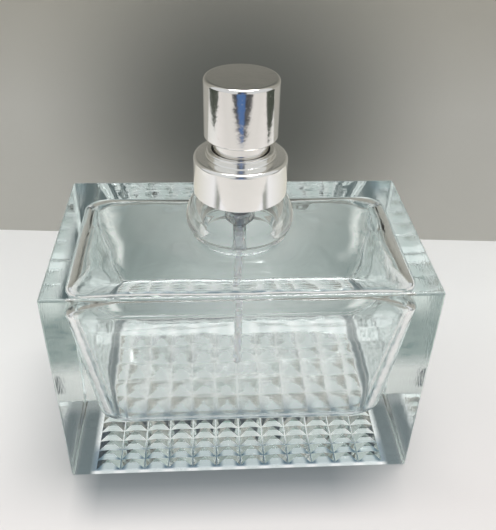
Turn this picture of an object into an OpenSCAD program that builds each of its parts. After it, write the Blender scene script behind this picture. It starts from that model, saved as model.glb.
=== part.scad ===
// Aftershave bottle: a thick-walled glass block with a crimped fine-mist pump.
// Millimetres. +Z is up, -Y is the front, the origin is the centre of the underside.

/* [Glass body] */
// Width of the glass block
body_w = 75; // [70:0.5:80]
// Depth of the glass block, front to back
body_d = 43.8; // [42:0.2:48]
// Height of the glass block, without its neck
body_h = 49.6; // [49:0.1:50]
// Radius of the four upright edges
edge_r = 0.7; // [0.3:0.1:1.5]
// Thickness of the solid glass base
base_t = 13; // [12:0.2:18]
// Thickness of the glass above the cavity
roof_t = 3; // [2.6:0.1:4]
// Thickness of the left and right walls at the shoulder
side_wall_top = 3; // [2.5:0.1:5]
// Thickness of the left and right walls at the cavity floor
side_wall_low = 7.6; // [6:0.2:9]
// Thickness of the front and back walls at the shoulder
front_wall_top = 3.9; // [3:0.1:5]
// Thickness of the front and back walls at the cavity floor
front_wall_low = 4.4; // [4:0.1:7]
// Height of the curve between the cavity's floor and its walls
floor_rise = 3.4; // [2:0.2:5]
// How far that curve reaches in from the left and right walls
floor_side = 4.2; // [2:0.2:6]
// How far it reaches in from the front and back walls
floor_front = 3.8; // [2:0.2:6]
// Height of the curve between the cavity's walls and its ceiling
shoulder_drop = 3.6; // [2:0.2:6]
// How far that curve reaches in from the left and right walls
shoulder_side = 11; // [5:0.5:12]
// How far it reaches in from the front and back walls
shoulder_front = 4.6; // [3:0.2:5]
// Radius of the cavity's upright corners at its shoulder
corner_top = 4; // [3:0.5:6]
// Radius of the cavity's upright corners at its floor
corner_low = 6; // [4:0.5:8]

/* [Diamond relief in the underside] */
// Spacing of the pyramids
stud_pitch = 5.4; // [4.8:0.1:5.6]
// Number of pyramids across the width
stud_columns = 12; // [8:1:12]
// Number of pyramids from front to back
stud_rows = 7; // [4:1:7]
// Height of a pyramid
stud_h = 1.8; // [1:0.1:2.5]
// Flat land between two pyramids
stud_land = 0.24; // [0.1:0.02:0.6]

/* [Neck] */
// Radius of the neck's bore
bore_r = 4.8; // [4.2:0.1:5]
// Radius of the neck under its bead
neck_r = 6.6; // [6.2:0.1:6.8]
// Radius of the bead that the ferrule grips
bead_r = 7.5; // [7.3:0.1:7.6]
// Height of the bead
bead_h = 3.6; // [3:0.1:3.8]
// Largest radius of the bell-shaped neck foot
bell_r = 10.9; // [10:0.1:11.5]
// Radius of the bell's curve, seen from the side
bell_round = 7.4; // [7:0.1:8]
// Radius of the bell's underside, where it turns in again
bell_low_r = 2.3; // [1.5:0.1:3]
// Thickness of the glass in the bell
bell_wall = 2.9; // [2.4:0.1:3.2]
// Radius at which the raised foot of the neck runs out into the top face
foot_r = 17; // [14:0.5:19]

/* [Collar] */
// Outer radius of the collar
collar_r = 9.2; // [9:0.1:9.6]
// Height of the collar without the bead round its hole
collar_h = 7.75; // [7.5:0.05:8]
// Radius of the hole that the button's skirt enters
collar_hole_r = 5.6; // [5.6:0.05:5.8]
// Height of the bead round that hole
hole_bead_h = 1.45; // [1:0.05:1.45]
// Thickness of the sheet metal
sheet_t = 0.4; // [0.3:0.05:0.4]

/* [Button] */
// Radius of the button
button_r = 7.1; // [6.9:0.1:7.4]
// Height of the button's wide part
button_h = 11.5; // [10.5:0.1:12.5]
// Radius of the narrow skirt below it
skirt_r = 5.35; // [5.3:0.01:5.36]
// Radius of the button's top edge
button_edge_r = 0.7; // [0.4:0.1:1]
// Travel of the button
stroke = 2.1; // [1.8:0.1:2.1]

/* [Pump] */
// Bore radius of the metering chamber
chamber_r = 2.75; // [2.7:0.05:2.8]
// Radius of the inlet ball
ball_r = 0.95; // [0.9:0.01:0.98]
// Outer radius of the stem
stem_r = 1.6; // [1.5:0.05:1.6]
// Outer radius of the dip tube
tube_r = 0.9; // [0.8:0.05:1]
// Bore radius of the dip tube
tube_bore_r = 0.55; // [0.4:0.05:0.6]

/* [Hidden] */
$fn = 72;

// Cavity: how much its corner radius grows over the shoulder
cavity_top = body_h - roof_t;
corner_grows = 3;
flare = 2.8;
flare_r = 10.6;
flare_z = cavity_top + 0.8;
flare_end = 256;

// Heights of the neck and of what sits on it
bell_z = body_h + 4.1;
bell_axis_r = bell_r - bell_round;
bell_top = body_h + 10.3;
neck_top = body_h + 14.8;
bead_z = neck_top - bead_h;
gasket_t = 0.7;
flange_t = 0.8;
flange_z = neck_top + gasket_t;
flange_top = flange_z + flange_t;
flange_r = 7.2;

// Ferrule and collar
ferrule_t = 0.3;
ferrule_r = bead_r + 0.15 + ferrule_t;
ferrule_hole_r = 5.75;
ferrule_bottom = bell_top + 0.4;
collar_z = bell_top - 0.1;
collar_top = collar_z + collar_h;
hole_bead_top = collar_top + hole_bead_h;
collar_roll_r = 0.7;
hole_bead_w = 1.05;

// Button: at the end of its travel it stands clear of the collar
button_z = hole_bead_top + stroke + 0.3;
button_top = button_z + button_h;
skirt_bottom = hole_bead_top - 0.8;
core_bottom = skirt_bottom + 2;
nozzle_z = button_z + 6.6;
nozzle_r = 1.88;
shell_t = 0.4;

// Pump body: heights are counted down from the flange
chamber_wall = 0.95;
chamber_z = flange_top - 7.9;
spring_well_r = 2.2;
spring_well_wall = 0.8;
spring_z = chamber_z - 3.6;
ball_room_r = 1.15;
seat_r = 0.55;
seat_z = spring_z - 2.4;
tail_r = 1.4;
tail_top = seat_z - 0.1;
socket_top = seat_z - 0.8;
tail_bottom = socket_top - 4.6;
ball_z = seat_z - seat_r + ball_r * sqrt(2) + 0.01;

// Moving column: stem, rod, piston and their springs
running_fit = 0.03;
gasket_z = flange_top - 1.0;
shoulder_z = gasket_z - 0.6;
shoulder_r = 2.2;
stem_low_r = 1.2;
stem_bottom = shoulder_z - 3.0;
stem_top = button_z + 3.6;
stem_bore_r = 0.6;
rod_r = 0.8;
head_z = flange_top - 6.3;
head_r = 1.75;
head_t = 0.6;
cone_top = head_z + 1.4;
piston_z = head_z + 0.8;
piston_h = 3.2;
piston_r = chamber_r - running_fit;
web_z = piston_z + 1.8;
return_wire_r = 0.2;
priming_wire_r = 0.14;

// ---- Shared shapes ----

// Points of an arc round (x, y) from angle a0 to a1, in a radial section
function arc(x, y, r, a0, a1, steps = 6) =
    [for (i = [0 : steps]) let (a = a0 + (a1 - a0) * i / steps) [x + r * cos(a), y + r * sin(a)]];

// A turned part: its radial section carried once round the Z axis
module turned(section) {
    rotate_extrude() polygon(section);
}

// A plain ring
module ring(r_in, r_out, z, h) {
    translate([0, 0, z]) difference() {
        cylinder(r = r_out, h = h);
        translate([0, 0, -1]) cylinder(r = r_in, h = h + 2);
    }
}

// Height of a coil's centre line after t turns: a close turn at each end, even pitch between
function coil_z(t, turns, h, wire_r) =
    let (close = 2.1 * wire_r, open = (h - 2 * wire_r - 2 * close) / (turns - 2))
    wire_r + (t < 1 ? t * close
        : t > turns - 1 ? close + (turns - 2) * open + (t - turns + 1) * close
        : close + (t - 1) * open);

// A coil spring that stands on z = 0, swept as one closed tube
module coil(mean_r, wire_r, h, turns) {
    sides = 8;
    steps = 16;
    rings = turns * steps;
    points = [for (k = [0 : rings]) for (s = [0 : sides - 1])
        let (a = 360 * k / steps, b = 360 * s / sides, r = mean_r + wire_r * cos(b))
        [r * cos(a), r * sin(a), coil_z(k / steps, turns, h, wire_r) + wire_r * sin(b)]];
    skin = [for (k = [0 : rings - 1]) for (s = [0 : sides - 1])
        let (n = (s + 1) % sides)
        [k * sides + s, k * sides + n, (k + 1) * sides + n, (k + 1) * sides + s]];
    first_cap = [for (s = [sides - 1 : -1 : 0]) s];
    last_cap = [for (s = [0 : sides - 1]) rings * sides + s];
    polyhedron(points = points, faces = concat([first_cap], skin, [last_cap]), convexity = 10);
}

// ---- Glass ----

// Outline of the block seen from above, with round upright edges
module block_outline() {
    square([body_w - 2 * edge_r, body_d], center = true);
    square([body_w, body_d - 2 * edge_r], center = true);
    for (x = [-1, 1], y = [-1, 1])
        translate([x * (body_w / 2 - edge_r), y * (body_d / 2 - edge_r)]) circle(r = edge_r);
}

// Four corner discs of the cavity at one height, drawn in from its side and front walls
module cavity_level(z, in_side, in_front, r) {
    up = (z - base_t) / (cavity_top - base_t);
    half_w = body_w / 2 - side_wall_low - (side_wall_top - side_wall_low) * up - in_side;
    half_d = body_d / 2 - front_wall_low - (front_wall_top - front_wall_low) * up - in_front;
    for (x = [-1, 1], y = [-1, 1])
        translate([x * (half_w - r), y * (half_d - r), z]) cylinder(r = r, h = 0.01, $fn = 32);
}

// The space for the liquid: drafted walls, a curved floor edge, long shoulders, a hipped ceiling
module cavity() {
    hull() {
        for (a = [0 : 15 : 90]) {
            across = 1 - cos(a);
            up = 1 - sin(a);
            cavity_level(base_t + floor_rise * up, floor_side * across, floor_front * across, corner_low);
            cavity_level(cavity_top - shoulder_drop * up, shoulder_side * across,
                shoulder_front * across, corner_top + corner_grows * across);
        }
        translate([0, 0, cavity_top]) cylinder(
            r = flare_r + flare * cos(flare_end), h = flare_z + flare * (1 + sin(flare_end)) - cavity_top);
    }
}

// Bore of the neck: straight, then a bell inside the bell, then a flare into the ceiling
module neck_bore() {
    inside = bell_round - bell_wall;
    bore_angle = acos((bore_r - bell_axis_r) / inside);
    turned(concat(
        [[0, cavity_top - 2], [flare_r + flare * cos(flare_end), cavity_top - 2]],
        arc(flare_r, flare_z + flare, flare, flare_end, 180),
        arc(bell_axis_r, bell_z, inside, 0, bore_angle, 10),
        [[bore_r, neck_top + 1], [0, neck_top + 1]]));
}

// Outside of the neck: raised foot, bell, waist, and the bead that the ferrule grips
module neck_outside() {
    crease = 0.5;
    tuck = 58;
    crease_r = bell_r - bell_low_r + (bell_low_r + crease) * cos(tuck);
    crease_z = bell_z - (bell_low_r + crease) * sin(tuck);
    foot_rise = crease_z - crease - body_h;
    top_angle = asin((bell_top - bell_z) / bell_round);
    lip = 0.8;
    turned(concat(
        [[0, body_h - 1], [foot_r, body_h - 1]],
        [for (t = [0 : 0.125 : 1]) [foot_r + (crease_r + 0.06 - foot_r) * t, body_h + foot_rise * t * t]],
        arc(crease_r, crease_z, crease, 270, 180 - tuck, 4),
        arc(bell_r - bell_low_r, bell_z, bell_low_r, -tuck, 0),
        arc(bell_axis_r, bell_z, bell_round, 0, top_angle, 10),
        [[neck_r, bell_top], [neck_r, bead_z], [bead_r - 0.4, bead_z], [bead_r, bead_z + 0.4]],
        arc(bead_r - lip, neck_top - lip, lip, 0, 90),
        [[0, neck_top]]));
}

// Pyramids pressed up into the underside
module diamond_relief() {
    below = 0.1;
    half = (stud_pitch - stud_land) / 2;
    spread = (stud_h + below) / stud_h;
    for (i = [0 : stud_columns - 1], j = [0 : stud_rows - 1])
        translate([(i - (stud_columns - 1) / 2) * stud_pitch,
                   (j - (stud_rows - 1) / 2) * stud_pitch, -below])
            rotate(45) cylinder(r1 = half * sqrt(2) * spread, r2 = 0, h = stud_h + below, $fn = 4);
}

module glass_bottle() {
    color([0.82, 0.9, 0.88, 0.4]) difference() {
        union() {
            linear_extrude(body_h) block_outline();
            neck_outside();
        }
        cavity();
        neck_bore();
        diamond_relief();
    }
}

// ---- What closes the neck ----

module neck_gasket() {
    color("whitesmoke") ring(chamber_r + chamber_wall + 0.05, flange_r, neck_top, gasket_t);
}

// Aluminium cup, crimped under the bead of the glass
module crimp_ferrule() {
    color("silver") {
        turned([
            [ferrule_hole_r, flange_top], [ferrule_r - ferrule_t, flange_top],
            [ferrule_r - ferrule_t, ferrule_bottom + 0.45], [neck_r + 0.1, ferrule_bottom + 0.45],
            [neck_r + 0.1, ferrule_bottom], [ferrule_r, ferrule_bottom],
            [ferrule_r, flange_top + ferrule_t], [ferrule_hole_r, flange_top + ferrule_t]]);
    }
}

// Plastic liner that centres the collar on the ferrule
module collar_sleeve() {
    roof_z = flange_top + ferrule_t + 0.1;
    color("gainsboro") turned([
        [ferrule_r + 0.05, ferrule_bottom], [collar_r - sheet_t - 0.05, ferrule_bottom],
        [collar_r - sheet_t - 0.05, collar_top - sheet_t - 0.35],
        [collar_r - sheet_t - 0.35, collar_top - sheet_t - 0.05],
        [collar_hole_r + 0.25, collar_top - sheet_t - 0.05], [collar_hole_r + 0.25, roof_z],
        [ferrule_r + 0.05, roof_z]]);
}

// Polished collar with a rolled edge and a bead round its hole
module collar_shell() {
    bead_edge = 0.4;
    bead_out_r = collar_hole_r + hole_bead_w;
    inside_r = collar_r - sheet_t;
    color("lightgray") turned(concat(
        [[inside_r, collar_z], [collar_r, collar_z]],
        arc(collar_r - collar_roll_r, collar_top - collar_roll_r, collar_roll_r, 0, 90),
        arc(bead_out_r + 0.3, collar_top + 0.3, 0.3, 270, 180, 3),
        arc(bead_out_r - bead_edge, hole_bead_top - bead_edge, bead_edge, 0, 90, 4),
        arc(collar_hole_r + bead_edge, hole_bead_top - bead_edge, bead_edge, 90, 180, 4),
        [[collar_hole_r, collar_top - sheet_t]],
        arc(inside_r - 0.3, collar_top - sheet_t - 0.3, 0.3, 90, 0, 3)));
}

// ---- Fixed parts of the pump ----

// Housing: flange, metering chamber, spring well, ball seat and dip-tube socket
module pump_housing() {
    barrel_r = chamber_r + chamber_wall;
    well_r = spring_well_r + spring_well_wall;
    well_bottom = seat_z + 1.4;
    rib_h = 0.3;
    color([0.93, 0.94, 0.95, 0.8]) {
        turned([
            [chamber_r, flange_top], [flange_r, flange_top], [flange_r, flange_z],
            [barrel_r, flange_z], [barrel_r, chamber_z - 0.4], [well_r, chamber_z - 1],
            [well_r, well_bottom], [tail_r + 0.5, tail_top + 0.3], [tail_r, tail_top],
            [tail_r, tail_bottom], [tube_r, tail_bottom], [tube_r, socket_top],
            [seat_r, socket_top], [seat_r, seat_z],
            [ball_room_r, seat_z + ball_room_r - seat_r], [ball_room_r, spring_z],
            [spring_well_r, spring_z], [spring_well_r, chamber_z], [chamber_r, chamber_z]]);
        // Ribs that keep the ball in its room
        for (a = [45 : 90 : 315])
            rotate(a) translate([0.85, -0.15, spring_z - rib_h]) cube([0.4, 0.3, rib_h]);
    }
}

// Turret: snaps into the housing and guides the stem
module turret() {
    color("white") turned([
        [stem_r + 0.06, flange_top - 0.3], [chamber_r - 0.02, flange_top - 0.3],
        [chamber_r - 0.02, flange_top], [4.6, flange_top], [4.6, flange_top + 0.7],
        [3, flange_top + 0.7], [3, flange_top + 1.5], [2.8, flange_top + 1.7],
        [stem_r + 0.06, flange_top + 1.7]]);
}

// Rubber ring that the stem's shoulder closes against
module stem_gasket() {
    color("dimgray") ring(stem_r + running_fit, chamber_r - 0.05, gasket_z, 0.7);
}

// Dip tube: straight, with its foot cut at a slant just above the cavity's floor
module dip_tube() {
    foot_z = base_t + 0.6;
    color([0.95, 0.96, 0.97, 0.7]) difference() {
        ring(tube_bore_r, tube_r, foot_z, socket_top - foot_z);
        translate([0, 0, foot_z]) rotate([0, 25, 0]) translate([-4, -4, -4]) cube([8, 8, 4]);
    }
}

// ---- Moving parts of the pump ----

module inlet_ball() {
    color("darkgray") translate([0, 0, ball_z]) sphere(r = ball_r);
}

module return_spring() {
    color("gray") translate([0, 0, spring_z + 0.02])
        coil(1.6, return_wire_r, head_z - spring_z - 0.04, 6);
}

// Valve rod: spring pin, sealing cone and a fluted shank pressed into the stem
module valve_rod() {
    shank_top = gasket_z + 0.5;
    flute = 0.42;
    color("whitesmoke") {
        turned([
            [0, head_z - 2], [0.8, head_z - 2], [1.1, head_z - 1.6], [1.1, head_z],
            [head_r, head_z], [head_r, head_z + head_t], [rod_r, cone_top], [0, cone_top]]);
        translate([0, 0, cone_top - 0.2]) intersection() {
            cylinder(r = rod_r, h = shank_top - cone_top + 0.2);
            union() {
                translate([-2, -flute / 2, -1]) cube([4, flute, 9]);
                translate([-flute / 2, -2, -1]) cube([flute, 4, 9]);
            }
        }
    }
}

// Piston: two lips on the chamber's wall, a sleeve on the stem and a seat on the rod's cone
module piston() {
    sleeve_r = stem_low_r + 0.05;
    top = piston_z + piston_h;
    color("ivory") turned([
        [sleeve_r, piston_z + 0.25], [2.2, piston_z + 0.25], [2.45, piston_z], [piston_r, piston_z],
        [piston_r, piston_z + 0.35], [2.45, piston_z + 0.6], [2.35, piston_z + 0.8],
        [2.35, top - 0.7], [2.45, top - 0.5], [piston_r, top - 0.3], [piston_r, top], [2.4, top],
        [2, top - 0.4], [2, web_z], [stem_low_r + 0.25, web_z], [stem_low_r + 0.25, top],
        [sleeve_r, top]]);
}

module priming_spring() {
    color("gray") translate([0, 0, web_z + 0.02])
        coil(1.72, priming_wire_r, shoulder_z - web_z - 0.04, 4);
}

// Hollow stem: lower sleeve for the rod, shoulder, and the spigot that carries the button
module stem() {
    color("white") turned([
        [rod_r, stem_bottom], [stem_low_r, stem_bottom], [stem_low_r, shoulder_z],
        [shoulder_r, shoulder_z], [shoulder_r, gasket_z - 0.02], [stem_r, gasket_z - 0.02],
        [stem_r, stem_top - 0.3], [stem_r - 0.3, stem_top], [stem_bore_r, stem_top],
        [stem_bore_r, gasket_z + 0.7], [rod_r, gasket_z + 0.7]]);
}

// ---- Button ----

// Core: stem socket, liquid channel and the pocket for the nozzle
module actuator_core() {
    core_r = button_r - shell_t - 0.05;
    pocket_y = 4.3;
    post_r = 0.9;
    channel_r = 0.35;
    channel_z = nozzle_z + 1.4;
    color("white") difference() {
        union() {
            difference() {
                union() {
                    translate([0, 0, core_bottom]) cylinder(r = skirt_r - shell_t - 0.05, h = 2);
                    translate([0, 0, button_z + shell_t + 0.05])
                        cylinder(r = core_r, h = button_h - 2 * shell_t - 0.1);
                }
                translate([0, pocket_y, nozzle_z]) rotate([-90, 0, 0]) cylinder(r = nozzle_r, h = 5);
            }
            translate([0, pocket_y - 0.5, nozzle_z]) rotate([-90, 0, 0]) cylinder(r = post_r, h = 2.1);
        }
        translate([0, 0, core_bottom - 1])
            cylinder(r = stem_r + running_fit, h = stem_top + 0.1 - core_bottom + 1);
        translate([0, 0, stem_top]) cylinder(r = 0.5, h = channel_z - stem_top);
        translate([0, 0, channel_z]) rotate([-90, 0, 0]) cylinder(r = channel_r, h = pocket_y + 0.1);
    }
}

// Polished shell: a drawn cup that necks in to a skirt, with a window for the nozzle
module actuator_shell() {
    step_edge = 0.45;
    step_fillet = 0.3;
    inside_r = button_r - shell_t;
    inside_top = button_top - shell_t;
    color("lightgray") difference() {
        turned(concat(
            [[skirt_r - shell_t, skirt_bottom], [skirt_r, skirt_bottom]],
            arc(skirt_r + step_fillet, button_z - step_fillet, step_fillet, 180, 90, 3),
            arc(button_r - step_edge, button_z + step_edge, step_edge, 270, 360, 4),
            arc(button_r - button_edge_r, button_top - button_edge_r, button_edge_r, 0, 90),
            [[0, button_top], [0, inside_top], [inside_r, inside_top],
             [inside_r, button_z + shell_t], [skirt_r - shell_t, button_z + shell_t]]));
        translate([0, 3, nozzle_z]) rotate([-90, 0, 0]) cylinder(r = nozzle_r + 0.2, h = 6);
    }
}

// Nozzle insert: a cup over the core's post, with a fine orifice in a shallow dish
module nozzle_insert() {
    back_y = 4.9;
    front_y = button_r - 0.35;
    color("white") translate([0, 0, nozzle_z]) rotate([-90, 0, 0]) turned([
        [1.2, back_y], [nozzle_r - 0.02, back_y], [nozzle_r - 0.02, front_y - 0.15],
        [nozzle_r - 0.17, front_y], [0.8, front_y], [0.2, front_y - 0.3],
        [0.2, front_y - 0.6], [1.2, front_y - 0.6]]);
}

glass_bottle();
neck_gasket();
crimp_ferrule();
collar_sleeve();
collar_shell();
pump_housing();
turret();
stem_gasket();
dip_tube();
inlet_ball();
return_spring();
valve_rod();
piston();
priming_spring();
stem();
actuator_core();
actuator_shell();
nozzle_insert();
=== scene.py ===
# %% [markdown]
# # A glass aftershave bottle with a fine-mist pump
#
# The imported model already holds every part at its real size. This lesson puts the looks on it: a
# thick block of clear glass that bends what is seen through it, a polished collar and button, and
# the translucent plastic of the pump. Each step first says what the piece is on the real bottle,
# then how it is made here and why.

# %% Load the frame
import math

import bpy
import numpy as np
from mathutils import Matrix, Vector


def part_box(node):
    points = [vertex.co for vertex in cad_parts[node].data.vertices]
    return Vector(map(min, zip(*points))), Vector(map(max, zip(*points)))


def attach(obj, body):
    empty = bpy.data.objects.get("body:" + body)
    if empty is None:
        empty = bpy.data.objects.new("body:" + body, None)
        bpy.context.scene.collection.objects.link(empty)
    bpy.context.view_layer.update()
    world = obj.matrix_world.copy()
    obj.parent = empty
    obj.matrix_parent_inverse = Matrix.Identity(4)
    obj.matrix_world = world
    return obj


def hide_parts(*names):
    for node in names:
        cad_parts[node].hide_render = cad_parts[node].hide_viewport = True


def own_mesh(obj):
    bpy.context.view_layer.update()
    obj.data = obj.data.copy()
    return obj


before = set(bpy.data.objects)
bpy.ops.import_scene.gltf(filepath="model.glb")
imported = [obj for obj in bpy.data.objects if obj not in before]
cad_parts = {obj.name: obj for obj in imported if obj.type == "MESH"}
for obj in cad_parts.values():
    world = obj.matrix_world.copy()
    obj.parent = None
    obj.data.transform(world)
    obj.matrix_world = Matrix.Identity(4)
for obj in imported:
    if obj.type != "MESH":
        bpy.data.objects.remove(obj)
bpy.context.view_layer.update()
MM = 0.001  # the drawing is in millimetres, Blender's scene in metres
HALF_W, HALF_D, LIP_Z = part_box("glass_bottle")[1]  # half sizes of the glass block, height of the lip
STUD_PITCH = 5.4 * MM  # from one pyramid under the glass to the next

# %% [markdown]
# ## Camera
#
# A small thing on a table is looked at from close by and from above, so the perspective is strong:
# the camera stands about two bottle widths away. It aims at a point inside the glass, then slides a
# little sideways and down, which places the bottle in the frame without turning the view.

# %% Camera
AIM = Vector((0, 0, 30)) * MM
AZIMUTH, ELEVATION, ROLL = (math.radians(a) for a in (-4.1, 35.64, 1.49))
DISTANCE = 152.9 * MM
SLIDE_RIGHT, SLIDE_UP = 2.2 * MM, 9.0 * MM


def camera_axes(azimuth, elevation, roll):
    """Right, up and back of a camera that looks along +Y at azimuth 0, rolled about its own view."""
    back = Vector((math.sin(azimuth) * math.cos(elevation),
                   -math.cos(azimuth) * math.cos(elevation), math.sin(elevation)))
    right = Vector((0, 0, 1)).cross(back).normalized()
    up = back.cross(right)
    return (right * math.cos(roll) + up * math.sin(roll),
            up * math.cos(roll) - right * math.sin(roll), back)


right, up, back = camera_axes(AZIMUTH, ELEVATION, ROLL)
camera = bpy.data.objects.new("camera", bpy.data.cameras.new("camera"))
camera.data.lens = 46.1
camera.data.clip_start = 1 * MM
camera.matrix_world = (
    Matrix.Translation(AIM + back * DISTANCE + right * SLIDE_RIGHT + up * SLIDE_UP)
    @ Matrix((right, up, back)).transposed().to_4x4())
bpy.context.scene.collection.objects.link(camera)
bpy.context.scene.camera = camera
print("camera at, mm:", [round(v / MM, 1) for v in camera.matrix_world.translation])

# %% [markdown]
# ## Shader maths in Python
#
# A material is a graph of nodes. `Value` wraps one socket so that ordinary arithmetic adds the Math
# nodes, and `Finish` makes a material and adds any other node through one method.

# %% Shader helpers
class Value:
    """A number that changes over a surface. a + b, a * b, abs(a) and so on each add Math nodes."""

    def __init__(self, finish, socket):
        self.finish, self.socket = finish, socket

    def maths(self, operation, *others):
        return self.finish.node("ShaderNodeMath", {"operation": operation}, [self, *others])

    def __add__(self, other):
        return self.maths("ADD", other)

    def __mul__(self, other):
        return self.maths("MULTIPLY", other)

    def __sub__(self, other):
        return self.maths("SUBTRACT", other)

    def __rsub__(self, other):
        return self.maths("MULTIPLY", -1.0) + other

    __radd__, __rmul__ = __add__, __mul__

    def __abs__(self):
        return self.maths("ABSOLUTE")


class Finish:
    """One material: a Principled shader and the nodes that feed it."""

    def __init__(self, name, **sockets):
        self.material = bpy.data.materials.new(name)
        self.material.use_nodes = True
        self.tree = self.material.node_tree
        self.shader = self.tree.nodes["Principled BSDF"]
        self.output = self.tree.nodes["Material Output"]
        self.set(**sockets)

    def plug(self, target, value):
        if isinstance(value, Value):
            self.tree.links.new(value.socket, target)
        elif value is not None:
            target.default_value = value

    def node(self, kind, settings=None, inputs=(), out=0):
        """Adds a node: its settings first, then its inputs, as a list in order or a dict by name."""
        made = self.tree.nodes.new(kind)
        for key, value in (settings or {}).items():
            setattr(made, key, value)
        named = inputs.items() if isinstance(inputs, dict) else enumerate(inputs)
        for key, value in named:
            self.plug(made.inputs[key], value)
        return Value(self, made.outputs[out])

    def set(self, **sockets):
        """Sets the shader's own sockets; an underscore stands for a space."""
        for key, value in sockets.items():
            self.plug(self.shader.inputs[key.replace("_", " ")], value)

    def place(self, scale=(1, 1, 1)):
        """The piece's own coordinates, in metres, stretched by scale."""
        own = self.node("ShaderNodeTexCoord", out="Object")
        return self.node("ShaderNodeMapping", inputs={"Vector": own, "Scale": scale})

    def parts(self, scale=(1, 1, 1)):
        """The x, y and z of place(scale), each as a Value."""
        split = self.node("ShaderNodeSeparateXYZ", inputs=[self.place(scale)]).socket.node
        return [Value(self, socket) for socket in split.outputs]

    def noise(self, scale, detail=2.0, rough=0.5, at=None):
        """Cloudy noise from 0 to 1, scale blobs to the metre."""
        return self.node("ShaderNodeTexNoise", inputs={
            "Vector": at or self.place(), "Scale": scale, "Detail": detail, "Roughness": rough})

    def spread(self, value, low, high, to_low=0.0, to_high=1.0):
        """Carries low..high of value to to_low..to_high, and holds it there."""
        return self.node("ShaderNodeMapRange", {"clamp": True}, [value, low, high, to_low, to_high])

    def between(self, value, start, full, ebb, end):
        """0 up to start, 1 from full to ebb, 0 again from end."""
        return self.spread(value, start, full) * self.spread(value, ebb, end, 1.0, 0.0)

    def ball(self, centre, size):
        """1 at centre, falling evenly to 0 on an ellipsoid with half axes size."""
        shifted = self.node("ShaderNodeMapping", {"vector_type": "TEXTURE"}, {
            "Vector": self.node("ShaderNodeTexCoord", out="Object"), "Location": centre, "Scale": size})
        return self.node("ShaderNodeTexGradient", {"gradient_type": "SPHERICAL"},
                         {"Vector": shifted}, out=1)

    def blend(self, share, colour_a, colour_b):
        """Colour a where share is 0, colour b where it is 1."""
        return self.node("ShaderNodeMix", {"data_type": "RGBA"},
                         {0: share, 6: colour_a, 7: colour_b}, out=2)

    def bump(self, height, depth, under=None):
        """Tilts the surface as if height stood depth metres proud."""
        return self.node("ShaderNodeBump", inputs={
            "Height": height, "Distance": depth, "Strength": 1.0, "Normal": under}, out=0)

    def mix_clear(self, share, colour=(1, 1, 1, 1)):
        """Lets light go straight through, tinted by colour, by as much as share."""
        clear = self.node("ShaderNodeBsdfTransparent", inputs={"Color": colour})
        own = Value(self, self.shader.outputs[0])
        mixed = self.node("ShaderNodeMixShader", inputs=[share, own, clear])
        self.plug(self.output.inputs["Surface"], mixed)


print("shader helpers ready")

# %% [markdown]
# ## Table and backdrop
#
# Glass and polished metal have no look of their own: they show their surroundings. So the studio is
# kept plain but is built with care. The table is white paper, with painted shade that dims it towards
# the viewer. Thick glass throws light under itself and shade around itself, and a renderer finds such
# light only by chance, so both are painted on the paper: a painted glow under the base, a painted
# shadow ahead of it and painted shade under its side margins. The backdrop is grey card with painted
# shadows and painted shade on it, and is clear from behind.

# %% Table
TABLE_SIDE, BACK_LEFT, BACK_RIGHT = 600 * MM, 114.8 * MM, 34.8 * MM  # the backdrop stands a little askew
TABLE_BACK = (BACK_LEFT + BACK_RIGHT) / 2


def sheet(name, corners, material):
    """A flat stage piece from its corners, anticlockwise as seen from its shown side."""
    mesh = bpy.data.meshes.new(name)
    mesh.from_pydata(corners, [], [tuple(range(len(corners)))])
    mesh.materials.append(material)
    made = bpy.data.objects.new(name, mesh)
    bpy.context.scene.collection.objects.link(made)
    return made


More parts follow.
